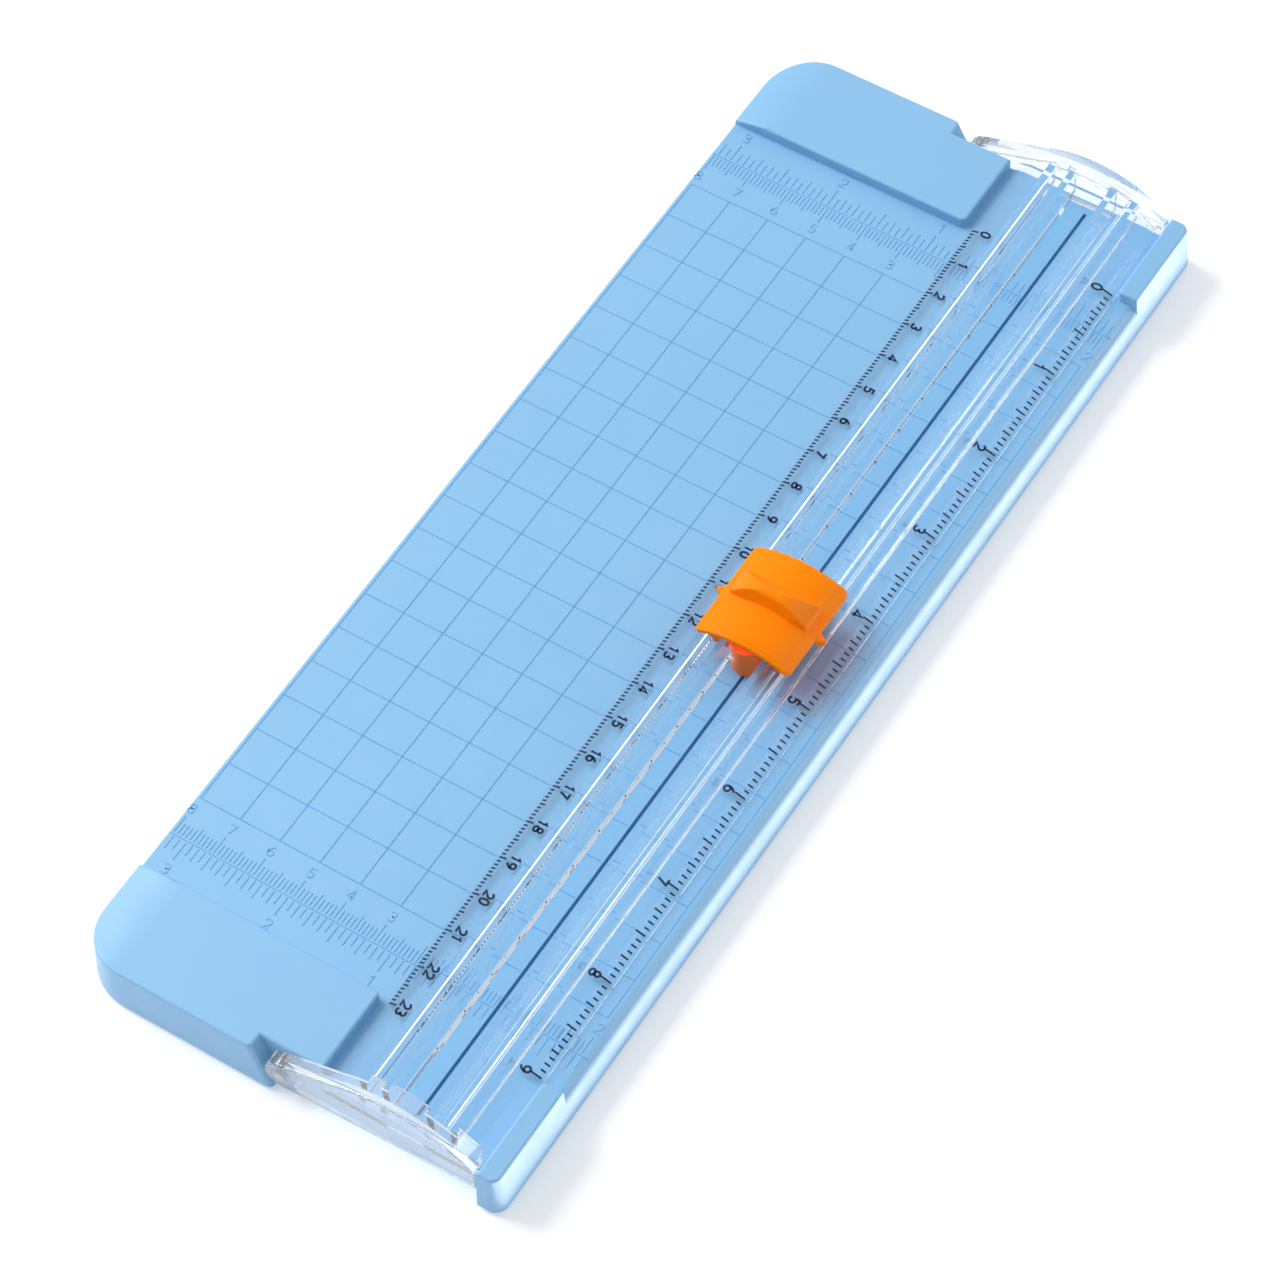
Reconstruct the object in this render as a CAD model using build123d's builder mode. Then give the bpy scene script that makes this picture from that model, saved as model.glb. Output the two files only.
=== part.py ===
from build123d import *
import os

# Rotary paper trimmer, in millimetres, +Z up. X runs across the base, from the paper bed (-X)
# to the narrow off-cut side (+X). Y runs along the cut. The feet stand on Z = 0.

# Base moulding
BASE_LENGTH = 280.0
BASE_WIDTH = 105.0
BASE_BOTTOM = 1.0
BED_TOP = 9.5
BLOCK_TOP = 12.5
BED_THICKNESS = 2.2
WALL = 2.2
LEFT_CORNER_RADIUS = 13.0
RIGHT_CORNER_RADIUS = 3.0
SIDE_DRAFT = 4.0
FENCE_SPAN = 230.0
LEFT_BLOCK_EDGE = 8.0
RIGHT_BLOCK_EDGE = 47.0
RECESS_DEPTH = 4.5
NOTCH_TOP_X = -7.3
NOTCH_FOOT_X = -2.6
NOTCH_ROUND = 1.2
BLOCK_FALL_X = -40.5
BLOCK_FALL_END = (-53.5, 10.3)
BLOCK_ROUND = 1.0
RIB = 1.6
RIB_BAYS = 10
LONG_RIB_X = (-24.0, 2.5, 29.0)
SOFT_EDGE = 0.6
BED_LEFT_EDGE = 0.4
BED_RIGHT_EDGE = 2.5

# Cut line and the groove that the blade runs in
CUT_X = 29.0
GROOVE_WIDTH = 0.8
GROOVE_DEPTH = 1.6
GROOVE_FAR_END = 132.5

# Rubber feet
FOOT_RADIUS = 6.0
FOOT_HEIGHT = 2.0
FOOT_X = 40.0
FOOT_Y = 118.0

# Clear rail, hinged along its left side; S is the distance from the cut line
RAIL_GAP = 0.4
PLATE = 1.6
PLATE_LEFT = 19.4
PLATE_RIGHT = 17.5
BEVEL = 2.8
BEVEL_EDGE = 0.6
PLATE_HALF_LENGTH = 137.2
RIB_HALF_LENGTH = 135.6
SLOT_HALF = 4.4
SLOT_HALF_LENGTH = 134.0
INNER_WALL = 1.5
INNER_WALL_TOP = 18.1
OUTER_RIB_IN = 9.7
OUTER_RIB = 1.5
OUTER_RIB_TOP = 17.0
RIB_FOOT = 0.15
LIP = 0.6
LIP_HEIGHT = 1.0

# Hinge of the rail
PIVOT_X = -0.6
PIVOT_Z = 6.6
PIN_RADIUS = 1.5
PIN_FIT = 0.05
PIN_DEPTH = 7.5

# End hoods that join the rail to its hinge
HOOD_FACE = 139.3
HOOD_WALL = 2.0
HOOD_INNER = 135.8
HOOD_STRIP = 1.6
HOOD_EYE = 3.6
HOOD_RIGHT = 46.5
HOOD_BOTTOM = 6.0
HOOD_CREST = (32.0, 19.6)
HOOD_SHOULDER = (14.0, 16.9)
HOOD_RIGHT_TOP = 12.6
HOOD_LEFT_TOP = (-0.8, 11.5)
HOOD_SOFT_EDGE = 0.4
TAB_INNER = 134.1
TAB_SPANS = ((-9.0, -6.0), (-4.3, 4.3), (11.3, 16.5))

# Carriage frame that slides in the rail
HOUSING_HALF = 3.5
HOUSING_HALF_LENGTH = 12.7
HOUSING_SHIFT = -0.3
HOUSING_BOTTOM = BED_TOP + 1.4
BRIDGE_BOTTOM = 18.4
BRIDGE_TOP = 19.3
BRIDGE_EDGE = 18.3
RUNNER_IN = 6.2
RUNNER_OUT = 8.8
RUNNER_BOTTOM = 13.6
RUNNER_HALF_LENGTH = 9.5
CLAW_OUT = 9.4
CLAW_TOP = 15.75
CLAW_HEIGHT = 1.3
CAVITY_HALF = 2.6
CAVITY_HALF_LENGTH = 7.0
CAVITY_BOTTOM = 11.8
SLIT_HALF = 0.7
SLIT_HALF_LENGTH = 5.2
SPRING_Y = 9.2
SPRING_POCKET_RADIUS = 1.6
SPRING_POCKET_BOTTOM = 13.2

# Thumb cap that is pressed down to cut
CAP_HALF = 11.5
CAP_HALF_LENGTH = 12.3
CAP_SIDE_TOP = 19.4
CAP_CREST = 22.4
CAP_THICKNESS = 1.2
CAP_CORNER = 1.3
CAP_SOFT_EDGE = 0.35
PANEL_HALF = 9.4
PANEL_HALF_LENGTH = 11.3
PANEL_SIDE = 20.55
PANEL_RISE = 0.35
FIN_HALF = 9.4
FIN_SIDE = 21.6
FIN_TOP = 26.6
FIN_BOTTOM = 19.9
FIN_NEAR_FOOT = (-2.9, 19.5)
FIN_NEAR_TOP = (-1.35, 25.7)
FIN_BROW = (-0.3, 26.5)
FIN_BACK = (1.9, 25.2)
FIN_FAR_FOOT = (4.6, 22.0)
FIN_PLAN_MIDDLE = -2.6
FIN_PLAN_END = -1.5
CAP_SEAT = 20.4
SEAT_HALF = 3.0
SPIGOT_RADIUS = 0.7
SPIGOT_BOTTOM = 19.0
NUB_TIP = 13.5
NUB_HALF = 1.3
NUB_TOP = 18.7
NUB_BOTTOM = 16.9
NUB_Y = -0.35

# Blade and its holder, which ride under the cap
BLADE_RADIUS = 5.0
BLADE_THICKNESS = 0.3
BLADE_LIFT = 0.5
BLADE_BEVEL = 0.8
BLADE_EDGE = 0.04
HOLDER_IN = 0.8
HOLDER_OUT = 2.3
HOLDER_HALF_LENGTH = 6.6
HOLDER_BOTTOM = 13.2
TONGUE_IN_Y = 4.9
TONGUE_BOTTOM = 17.4
SCREW_Y = 5.75
SCREW_Z = 18.8
SCREW_RADIUS = 0.6
SCREW_HEAD_RADIUS = 1.1
SCREW_HEAD = 0.6
AXLE_RADIUS = 1.0
AXLE_HALF = 1.9
BUSH_RADIUS = 1.7
BUSH_HALF = 0.3
WASHER_RADIUS = 2.2
RUNNING_FIT = 0.05
WIRE_RADIUS = 0.2
SPRING_MEAN_RADIUS = 1.15
SPRING_TURNS = 6

HALF_LENGTH = BASE_LENGTH / 2
HALF_WIDTH = BASE_WIDTH / 2
RECESS_WALL = HALF_LENGTH - RECESS_DEPTH
PLATE_BOTTOM = BED_TOP + RAIL_GAP
PLATE_TOP = PLATE_BOTTOM + PLATE
AXLE_Z = BED_TOP + BLADE_LIFT + BLADE_RADIUS
CUT_PLANE = Plane((CUT_X, 0, 0), x_dir=(1, 0, 0), z_dir=(0, -1, 0))
AXLE_PLANE = Plane((CUT_X, 0, AXLE_Z), x_dir=(0, 1, 0), z_dir=(1, 0, 0))


def finish(builder, name):
    """Label a finished piece and write it as its own STEP file."""
    builder.part.label = name
    export_step(builder.part, f"parts/{name}.step")


os.makedirs("parts", exist_ok=True)


# ---------------------------------------------------------------- base shell
# One moulding: a thin bed over a ribbed underside, raised blocks at the four corners, and a
# recess in each end wall for the rail's hoods.
with BuildPart() as base_shell:
    with BuildSketch(Plane.XY.offset(BASE_BOTTOM)) as footprint:
        Rectangle(BASE_WIDTH, BASE_LENGTH)
        fillet(footprint.vertices().group_by(Axis.X)[0], LEFT_CORNER_RADIUS)
        fillet(footprint.vertices().group_by(Axis.X)[-1], RIGHT_CORNER_RADIUS)
    extrude(amount=BLOCK_TOP - BASE_BOTTOM, taper=SIDE_DRAFT)
    for end in (1, -1):
        with BuildSketch(Plane.XZ.offset(-end * RECESS_WALL)):
            with BuildLine():
                Polyline(
                    (NOTCH_FOOT_X, BASE_BOTTOM),
                    (NOTCH_TOP_X, BLOCK_TOP),
                    (RIGHT_BLOCK_EDGE, BLOCK_TOP),
                    (RIGHT_BLOCK_EDGE, BASE_BOTTOM),
                    close=True,
                )
            make_face()
        extrude(amount=-end * RECESS_DEPTH, mode=Mode.SUBTRACT)

    # The tops of the left blocks fall away in a curve towards the left side.
    with BuildSketch(Plane.XZ):
        with BuildLine():
            TangentArc((BLOCK_FALL_X, BLOCK_TOP), BLOCK_FALL_END, tangent=(-1, 0))
            Polyline(
                BLOCK_FALL_END,
                (BLOCK_FALL_END[0], BLOCK_TOP + 1),
                (BLOCK_FALL_X, BLOCK_TOP + 1),
                (BLOCK_FALL_X, BLOCK_TOP),
            )
        make_face()
    extrude(amount=HALF_LENGTH, both=True, mode=Mode.SUBTRACT)

    # The bed between the fences, and the way for the rail between the blocks
    with BuildSketch(Plane.XY.offset(BED_TOP)):
        Rectangle(BASE_WIDTH + 2, FENCE_SPAN)
        with Locations(((LEFT_BLOCK_EDGE + RIGHT_BLOCK_EDGE) / 2, 0)):
            Rectangle(RIGHT_BLOCK_EDGE - LEFT_BLOCK_EDGE, BASE_LENGTH)
    extrude(amount=BLOCK_TOP - BED_TOP, mode=Mode.SUBTRACT)
    block_corners = base_shell.edges().filter_by(
        lambda edge: abs(abs(edge.center().Y) - FENCE_SPAN / 2) < 0.01
        and edge.length < BLOCK_TOP - BED_TOP + 0.01
        and LEFT_BLOCK_EDGE - 0.1 < edge.center().X < RIGHT_BLOCK_EDGE + 0.1
    )
    fillet(block_corners, BLOCK_ROUND)
    notch_corners = base_shell.edges().filter_by(
        lambda edge: abs(edge.center().Y) > RECESS_WALL + 1
        and NOTCH_TOP_X < edge.center().X < NOTCH_FOOT_X
        and abs((edge @ 1 - edge @ 0).Z) > 8
    )
    fillet(notch_corners, NOTCH_ROUND)
    fillet(base_shell.faces().filter_by(Axis.Z).group_by(Axis.Z)[-1].edges(), SOFT_EDGE)
    bed_sides = base_shell.edges().filter_by(
        lambda edge: abs(edge.center().Z - BED_TOP) < 0.01
        and abs(edge.center().X) > HALF_WIDTH - 2.5
        and edge.length > FENCE_SPAN - 5
    )
    fillet(bed_sides.sort_by(Axis.X)[0], BED_LEFT_EDGE)
    fillet(bed_sides.sort_by(Axis.X)[-1], BED_RIGHT_EDGE)

    # Underside: cells between ribs, with solid bosses for the feet and the hinge pins
    with BuildSketch(Plane.XY.offset(BASE_BOTTOM)) as cells:
        offset(footprint.sketch, amount=-WALL, kind=Kind.INTERSECTION)
        with Locations(((NOTCH_TOP_X + RIGHT_BLOCK_EDGE) / 2, 0)):
            with GridLocations(0, BASE_LENGTH, 1, 2):
                Rectangle(
                    RIGHT_BLOCK_EDGE - NOTCH_TOP_X + 2 * WALL,
                    2 * (RECESS_DEPTH + WALL),
                    mode=Mode.SUBTRACT,
                )
        for rib_x in LONG_RIB_X:
            with Locations((rib_x, 0)):
                Rectangle(RIB, BASE_LENGTH, mode=Mode.SUBTRACT)
        with GridLocations(0, 2 * (RECESS_WALL - WALL) / RIB_BAYS, 1, RIB_BAYS - 1):
            Rectangle(BASE_WIDTH, RIB, mode=Mode.SUBTRACT)
        with GridLocations(2 * FOOT_X, 2 * FOOT_Y, 2, 2):
            Circle(FOOT_RADIUS + WALL, mode=Mode.SUBTRACT)
        with GridLocations(0, 2 * (RECESS_WALL - PIN_DEPTH / 2 - 1), 1, 2):
            with Locations((PIVOT_X, 0)):
                Rectangle(4 * PIN_RADIUS, PIN_DEPTH + 2, mode=Mode.SUBTRACT)
    extrude(amount=BED_TOP - BED_THICKNESS - BASE_BOTTOM, mode=Mode.SUBTRACT)
    with Locations((0, 0, BASE_BOTTOM + FOOT_HEIGHT / 4)):
        with GridLocations(2 * FOOT_X, 2 * FOOT_Y, 2, 2):
            Cylinder(FOOT_RADIUS, FOOT_HEIGHT / 2, mode=Mode.SUBTRACT)

    # Groove for the blade, and the bores of the two hinge pins
    with BuildSketch(Plane.XY.offset(BED_TOP)):
        with Locations((CUT_X, (GROOVE_FAR_END - SLOT_HALF_LENGTH) / 2)):
            Rectangle(GROOVE_WIDTH, GROOVE_FAR_END + SLOT_HALF_LENGTH)
    extrude(amount=-GROOVE_DEPTH, mode=Mode.SUBTRACT)
    with BuildSketch(Plane.XZ.offset(-RECESS_WALL)):
        with Locations((PIVOT_X, PIVOT_Z)):
            Circle(PIN_RADIUS + PIN_FIT)
    extrude(amount=PIN_DEPTH, mode=Mode.SUBTRACT)
    with BuildSketch(Plane.XZ.offset(RECESS_WALL)):
        with Locations((PIVOT_X, PIVOT_Z)):
            Circle(PIN_RADIUS + PIN_FIT)
    extrude(amount=-PIN_DEPTH, mode=Mode.SUBTRACT)
finish(base_shell, "base_shell")


# ---------------------------------------------------------------- feet
# Rubber pads, half sunk into the bosses of the base.
FOOT_PLACES = {
    "foot_near_left": (-FOOT_X, -FOOT_Y),
    "foot_near_right": (FOOT_X, -FOOT_Y),
    "foot_far_left": (-FOOT_X, FOOT_Y),
    "foot_far_right": (FOOT_X, FOOT_Y),
}
for foot_name, (foot_x, foot_y) in FOOT_PLACES.items():
    with BuildPart() as foot:
        with BuildSketch():
            with Locations((foot_x, foot_y)):
                Circle(FOOT_RADIUS)
        extrude(amount=FOOT_HEIGHT)
        fillet(foot.edges().group_by(Axis.Z)[0], 0.4)
    finish(foot, foot_name)


# ---------------------------------------------------------------- clear rail
# A thin plate with ruler edges, an open slot over the cut line, two guide walls beside the
# slot and two outer ribs with inward lips that hold the carriage's claws.
with BuildPart() as clear_rail:
    with BuildSketch(CUT_PLANE):
        with BuildLine():
            Polyline(
                (-PLATE_LEFT, PLATE_BOTTOM),
                (PLATE_RIGHT, PLATE_BOTTOM),
                (PLATE_RIGHT, PLATE_BOTTOM + BEVEL_EDGE),
                (PLATE_RIGHT - BEVEL, PLATE_TOP),
                (BEVEL - PLATE_LEFT, PLATE_TOP),
                (-PLATE_LEFT, PLATE_BOTTOM + BEVEL_EDGE),
                close=True,
            )
        make_face()
    extrude(amount=PLATE_HALF_LENGTH, both=True)
    with BuildSketch(Plane.XY.offset(PLATE_BOTTOM)):
        with Locations((CUT_X, 0)):
            Rectangle(2 * SLOT_HALF, 2 * SLOT_HALF_LENGTH)
    extrude(amount=PLATE, mode=Mode.SUBTRACT)
    with BuildSketch(CUT_PLANE) as walls:
        for side in (1, -1):
            with BuildLine():
                Polyline(
                    (side * SLOT_HALF, PLATE_TOP),
                    (side * (SLOT_HALF + INNER_WALL), PLATE_TOP),
                    (side * (SLOT_HALF + INNER_WALL), INNER_WALL_TOP),
                    (side * SLOT_HALF, INNER_WALL_TOP),
                    close=True,
                )
            make_face()
            with BuildLine():
                Polyline(
                    (side * OUTER_RIB_IN, PLATE_TOP),
                    (side * (OUTER_RIB_IN + OUTER_RIB), PLATE_TOP),
                    (side * (OUTER_RIB_IN + OUTER_RIB), OUTER_RIB_TOP),
                    (side * (OUTER_RIB_IN - LIP), OUTER_RIB_TOP),
                    (side * (OUTER_RIB_IN - LIP), OUTER_RIB_TOP - LIP_HEIGHT / 2),
                    (side * OUTER_RIB_IN, OUTER_RIB_TOP - LIP_HEIGHT),
                    close=True,
                )
            make_face()
        fillet(walls.vertices().filter_by(lambda vertex: vertex.Z > OUTER_RIB_TOP - 0.01), 0.2)
    extrude(amount=RIB_HALF_LENGTH, both=True)
    rib_feet = clear_rail.edges().filter_by(
        lambda edge: abs(edge.center().Z - PLATE_TOP) < 0.01
        and SLOT_HALF + 1 < abs(edge.center().X - CUT_X) < OUTER_RIB_IN + OUTER_RIB + 0.01
        and edge.length > RIB_HALF_LENGTH
    )
    fillet(rib_feet, RIB_FOOT)
finish(clear_rail, "clear_rail")


# ---------------------------------------------------------------- end hoods
# A clear arch over each end of the rail: a face wall with a hinge eye, a roof strip behind
# it, and tabs that plug the ends of the slot and channels.
def hood_outline():
    """Outline of the hood's face, from the right foot over the arch to the hinge eye."""
    right_foot = (HOOD_RIGHT, HOOD_BOTTOM)
    right_top = (HOOD_RIGHT, HOOD_RIGHT_TOP)
    eye_left = (PIVOT_X - HOOD_EYE, PIVOT_Z)
    eye_low = (PIVOT_X, PIVOT_Z - HOOD_EYE)
    Line(right_foot, right_top)
    ThreePointArc(right_top, HOOD_CREST, HOOD_SHOULDER)
    Line(HOOD_SHOULDER, HOOD_LEFT_TOP)
    TangentArc(HOOD_LEFT_TOP, eye_left, tangent=(-3, -1))
    RadiusArc(eye_left, eye_low, -HOOD_EYE)
    Line(eye_low, right_foot)


with BuildPart() as far_hood:
    with BuildSketch(Plane.XZ.offset(-HOOD_FACE)):
        with BuildLine():
            hood_outline()
        make_face()
    extrude(amount=HOOD_WALL)

    # Roof strip: a band under the arch, open below the level of the plate
    with BuildSketch(Plane.XZ.offset(HOOD_WALL - HOOD_FACE)) as hood_roof:
        with BuildLine():
            hood_outline()
        make_face()
        offset(hood_roof.sketch, amount=-HOOD_STRIP, mode=Mode.SUBTRACT)
        with Locations((PIVOT_X, PIVOT_Z)):
            Circle(HOOD_EYE)
        with BuildLine():
            Polyline(
                (PIVOT_X + HOOD_EYE, 0),
                (PIVOT_X + HOOD_EYE, PLATE_TOP),
                (HOOD_RIGHT, PLATE_TOP),
                (HOOD_RIGHT, 0),
                close=True,
            )
        make_face(mode=Mode.SUBTRACT)
    extrude(amount=HOOD_FACE - HOOD_WALL - HOOD_INNER)

    # Flaps that reach in from the roof over the channels and the right side of the plate
    for tab_left, tab_right in TAB_SPANS:
        with BuildSketch(Plane.XZ.offset(-HOOD_INNER)) as flap:
            with BuildLine():
                hood_outline()
            make_face()
            offset(flap.sketch, amount=-HOOD_STRIP, mode=Mode.SUBTRACT)
            with Locations((CUT_X + (tab_left + tab_right) / 2, PLATE_TOP + BLOCK_TOP)):
                Rectangle(tab_right - tab_left, 2 * BLOCK_TOP, mode=Mode.INTERSECT)
        extrude(amount=HOOD_INNER - TAB_INNER)
    face_edges = far_hood.edges().filter_by(lambda edge: abs(edge.center().Y - HOOD_FACE) < 0.01)
    fillet(face_edges, HOOD_SOFT_EDGE)
    with BuildSketch(Plane.XZ.offset(-HOOD_FACE)):
        with Locations((PIVOT_X, PIVOT_Z)):
            Circle(PIN_RADIUS)
    extrude(amount=HOOD_FACE - HOOD_INNER, mode=Mode.SUBTRACT)
finish(far_hood, "far_hood")

with BuildPart() as near_hood:
    add(mirror(far_hood.part, about=Plane.XZ, mode=Mode.PRIVATE))
finish(near_hood, "near_hood")


# ---------------------------------------------------------------- hinge pins
# Stub pins through the hood's eyes into the end walls of the base.
for pin_name, end in (("near_hinge_pin", -1), ("far_hinge_pin", 1)):
    with BuildPart() as pin:
        with BuildSketch(Plane.XZ.offset(-end * HOOD_FACE)):
            with Locations((PIVOT_X, PIVOT_Z)):
                Circle(PIN_RADIUS)
        extrude(amount=end * (HOOD_FACE - RECESS_WALL + PIN_DEPTH - 1))
        chamfer(pin.edges().filter_by(GeomType.CIRCLE).sort_by(Axis.Y)[0 if end > 0 else -1], 0.3)
    finish(pin, pin_name)


# ---------------------------------------------------------------- carriage frame
# A narrow housing that hangs in the slot, with a bridge over the guide walls and two runners
# whose claws hook under the ribs' lips.
def level(z):
    """Horizontal plane at height z with its origin on the cut line."""
    return Plane((CUT_X, 0, z))


with BuildPart() as carriage_frame:
    with BuildSketch(level(HOUSING_BOTTOM)):
        with Locations((HOUSING_SHIFT, 0)):
            SlotOverall(2 * HOUSING_HALF_LENGTH, 2 * HOUSING_HALF, rotation=90)
    extrude(amount=BRIDGE_TOP - HOUSING_BOTTOM)
    fillet(carriage_frame.edges().group_by(Axis.Z)[0], 0.6)
    with BuildSketch(CUT_PLANE):
        for side in (1, -1):
            with BuildLine():
                Polyline(
                    (0, BRIDGE_TOP),
                    (side * RUNNER_IN, BRIDGE_TOP),
                    (side * RUNNER_OUT, BRIDGE_EDGE),
                    (side * RUNNER_OUT, CLAW_TOP),
                    (side * CLAW_OUT, CLAW_TOP),
                    (side * CLAW_OUT, CLAW_TOP - CLAW_HEIGHT / 2),
                    (side * RUNNER_OUT, CLAW_TOP - CLAW_HEIGHT),
                    (side * RUNNER_OUT, RUNNER_BOTTOM),
                    (side * RUNNER_IN, RUNNER_BOTTOM),
                    (side * RUNNER_IN, BRIDGE_BOTTOM),
                    (0, BRIDGE_BOTTOM),
                    close=True,
                )
            make_face()
    extrude(amount=RUNNER_HALF_LENGTH, both=True)
    with BuildSketch(level(BRIDGE_TOP)):
        Rectangle(2 * CAVITY_HALF, 2 * CAVITY_HALF_LENGTH)
    extrude(amount=CAVITY_BOTTOM - BRIDGE_TOP, mode=Mode.SUBTRACT)
    with BuildSketch(level(CAVITY_BOTTOM)):
        Rectangle(2 * SLIT_HALF, 2 * SLIT_HALF_LENGTH)
    extrude(amount=HOUSING_BOTTOM - CAVITY_BOTTOM, mode=Mode.SUBTRACT)
    with BuildSketch(level(BRIDGE_TOP)):
        with GridLocations(0, 2 * SPRING_Y, 1, 2):
            Circle(SPRING_POCKET_RADIUS)
    extrude(amount=SPRING_POCKET_BOTTOM - BRIDGE_TOP, mode=Mode.SUBTRACT)
finish(carriage_frame, "carriage_frame")


# ---------------------------------------------------------------- thumb cap
# An arched plate with a raised panel, a thumb fin across it, a pointer on each side, and
# seats underneath for the blade holder and the springs.
def arch_band(half, side_z, crest_z, depth):
    """Outline of a band of even depth under an arc that spans the cut line."""
    ThreePointArc((-half, side_z), (0, crest_z), (half, side_z))
    Line((half, side_z), (half, side_z - depth))
    ThreePointArc((half, side_z - depth), (0, crest_z - depth), (-half, side_z - depth))
    Line((-half, side_z - depth), (-half, side_z))


with BuildPart() as thumb_fin:
    with BuildSketch(CUT_PLANE):
        with BuildLine():
            ThreePointArc((-FIN_HALF, FIN_SIDE), (0, FIN_TOP), (FIN_HALF, FIN_SIDE))
            Line((FIN_HALF, FIN_SIDE), (FIN_HALF, FIN_BOTTOM))
            ThreePointArc((FIN_HALF, FIN_BOTTOM), (0, CAP_CREST - PANEL_RISE), (-FIN_HALF, FIN_BOTTOM))
            Line((-FIN_HALF, FIN_BOTTOM), (-FIN_HALF, FIN_SIDE))
        make_face()
    extrude(amount=CAP_HALF_LENGTH, both=True)
    with BuildSketch(Plane.YZ.offset(CUT_X)):
        with BuildLine():
            Polyline(FIN_FAR_FOOT, (FIN_FAR_FOOT[0], 0), (FIN_NEAR_FOOT[0], 0), FIN_NEAR_FOOT, FIN_NEAR_TOP)
            Spline(FIN_NEAR_TOP, FIN_BROW, FIN_BACK, FIN_FAR_FOOT)
        make_face()
    extrude(amount=FIN_HALF, both=True, mode=Mode.INTERSECT)
    with BuildSketch(level(0)):
        with BuildLine():
            ThreePointArc((-FIN_HALF, FIN_PLAN_END), (0, FIN_PLAN_MIDDLE), (FIN_HALF, FIN_PLAN_END))
            Polyline(
                (FIN_HALF, FIN_PLAN_END),
                (FIN_HALF, CAP_HALF_LENGTH),
                (-FIN_HALF, CAP_HALF_LENGTH),
                (-FIN_HALF, FIN_PLAN_END),
            )
        make_face()
    extrude(amount=FIN_TOP, mode=Mode.INTERSECT)

with BuildPart() as thumb_cap:
    with BuildSketch(CUT_PLANE):
        with BuildLine():
            arch_band(CAP_HALF, CAP_SIDE_TOP, CAP_CREST, CAP_THICKNESS)
        make_face()
    extrude(amount=CAP_HALF_LENGTH, both=True)
    with BuildSketch(level(0)):
        RectangleRounded(2 * CAP_HALF, 2 * CAP_HALF_LENGTH, CAP_CORNER)
    extrude(amount=FIN_TOP, mode=Mode.INTERSECT)
    fillet(thumb_cap.faces().sort_by(Axis.Z)[-1].edges(), CAP_SOFT_EDGE)
    with BuildSketch(CUT_PLANE):
        with BuildLine():
            arch_band(PANEL_HALF, PANEL_SIDE, CAP_CREST + PANEL_RISE, 2 * PANEL_RISE)
        make_face()
    extrude(amount=PANEL_HALF_LENGTH, both=True)
    add(thumb_fin.part)
    with BuildSketch(level(CAP_SEAT)):
        Rectangle(2 * SEAT_HALF, 2 * CAVITY_HALF_LENGTH)
        with GridLocations(0, 2 * SPRING_Y, 1, 2):
            Circle(SPRING_POCKET_RADIUS)
    extrude(amount=CAP_CREST - CAP_THICKNESS - CAP_SEAT)
    with BuildSketch(level(CAP_SEAT)):
        with GridLocations(0, 2 * SPRING_Y, 1, 2):
            Circle(SPIGOT_RADIUS)
    extrude(amount=SPIGOT_BOTTOM - CAP_SEAT)
    with BuildSketch(level(CAP_SEAT)):
        with GridLocations(0, TONGUE_IN_Y + HOLDER_HALF_LENGTH, 1, 2):
            Rectangle(2 * HOLDER_IN, HOLDER_HALF_LENGTH - TONGUE_IN_Y)
    extrude(amount=TONGUE_BOTTOM - CAP_SEAT)
    with BuildSketch(level(NUB_BOTTOM)):
        for side in (1, -1):
            with BuildLine():
                Polyline(
                    (side * CAP_HALF, NUB_Y + NUB_HALF),
                    (side * NUB_TIP, NUB_Y),
                    (side * CAP_HALF, NUB_Y - NUB_HALF),
                    close=True,
                )
            make_face()
    extrude(amount=NUB_TOP - NUB_BOTTOM)
    with BuildSketch(Plane.YZ.offset(CUT_X)):
        with Locations((SCREW_Y, SCREW_Z), (-SCREW_Y, SCREW_Z)):
            Circle(SCREW_RADIUS)
    extrude(amount=HOLDER_IN, both=True, mode=Mode.SUBTRACT)
finish(thumb_cap, "thumb_cap")


# ---------------------------------------------------------------- blade holder
# Two cheeks either side of the blade, clamped on the cap's tongues by two screws. The screw
# heads are sunk in the right cheek.
for cheek_name, side in (("holder_left", -1), ("holder_right", 1)):
    with BuildPart() as cheek:
        with BuildSketch(Plane.YZ.offset(CUT_X + side * HOLDER_IN)) as cheek_face:
            with Locations((0, (HOLDER_BOTTOM + CAP_SEAT) / 2)):
                Rectangle(2 * HOLDER_HALF_LENGTH, CAP_SEAT - HOLDER_BOTTOM)
            fillet(cheek_face.vertices().group_by(Axis.Z)[0], 1.5)
            with Locations((SCREW_Y, SCREW_Z), (-SCREW_Y, SCREW_Z)):
                Circle(SCREW_RADIUS, mode=Mode.SUBTRACT)
        extrude(amount=side * (HOLDER_OUT - HOLDER_IN))
        with BuildSketch(Plane.YZ.offset(CUT_X + side * HOLDER_IN)):
            with Locations((0, AXLE_Z)):
                Circle(AXLE_RADIUS)
        extrude(amount=side * (AXLE_HALF - HOLDER_IN), mode=Mode.SUBTRACT)
        if side > 0:
            with BuildSketch(Plane.YZ.offset(CUT_X + HOLDER_OUT)):
                with Locations((SCREW_Y, SCREW_Z), (-SCREW_Y, SCREW_Z)):
                    Circle(SCREW_HEAD_RADIUS)
            extrude(amount=-SCREW_HEAD, mode=Mode.SUBTRACT)
    finish(cheek, cheek_name)

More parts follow.
